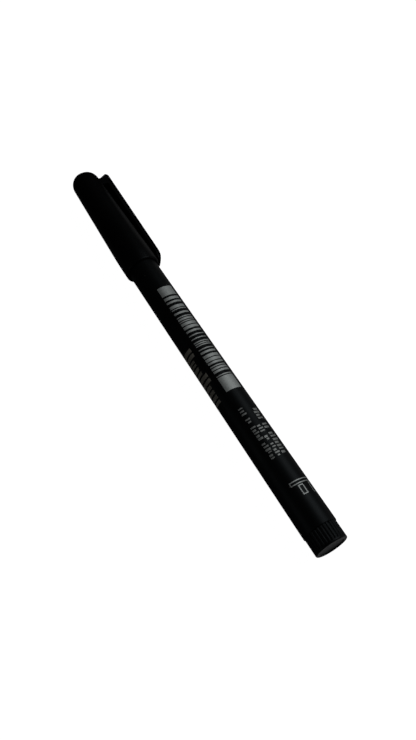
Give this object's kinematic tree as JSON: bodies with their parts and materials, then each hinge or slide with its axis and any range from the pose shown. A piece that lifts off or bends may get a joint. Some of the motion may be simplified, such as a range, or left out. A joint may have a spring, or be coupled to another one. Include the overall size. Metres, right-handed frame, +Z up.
{
  "type": "capped fibre-tip marker pen",
  "caption": "Slim round marker pen lying on a table, capped, with a tapered barrel, a fluted tail plug, a fibre nib, and a domed cap with a sprung pocket clip.",
  "frame": {"origin": "centre of the bottom of the bounding box, on the table that the pen lies on", "axes": "+X along the pen from the tail towards the cap, leaning 0.3 degrees up; +Z up; the clip is on the -Y side and touches the table"},
  "size_m": [0.141, 0.0132, 0.0106],
  "materials": {
    "barrel_plastic": "satin black polypropylene with fine handling scuffs",
    "cap_plastic": "satin black polypropylene",
    "plug_plastic": "satin black polypropylene, moulded flutes",
    "section_plastic": "smooth black plastic",
    "liner_plastic": "natural milky polyethylene",
    "reservoir_fibre": "bonded polyester fibre soaked with black ink",
    "reservoir_film": "thin film wrap",
    "print_ink": "pale grey screen print on the barrel",
    "nib_fibre": "bonded fibre stained black"
  },
  "bodies": {
    "barrel": {"barrel": "barrel_plastic", "tail_plug": "plug_plastic", "reservoir_core": "reservoir_fibre", "reservoir_film": "reservoir_film", "front_section": "section_plastic", "nib": "nib_fibre"},
    "cap": {"cap_shell": "cap_plastic", "cap_liner": "liner_plastic"},
    "clip": {"clip_arm": "cap_plastic"}
  },
  "joints": [
    {"name": "cap_pull", "type": "slide", "parent": "barrel", "child": "cap", "axis": [1, 0, 0.0054], "range_m": [0, 0.045]},
    {"name": "clip_flex", "type": "hinge", "parent": "cap", "child": "clip", "pos_m": [0.06312, -0.00561, 0.0018], "axis": [-0.0048, -0.4743, 0.8803], "range_deg": [0, 3.5], "stiffness_Nm_per_rad": 2.4}
  ]
}
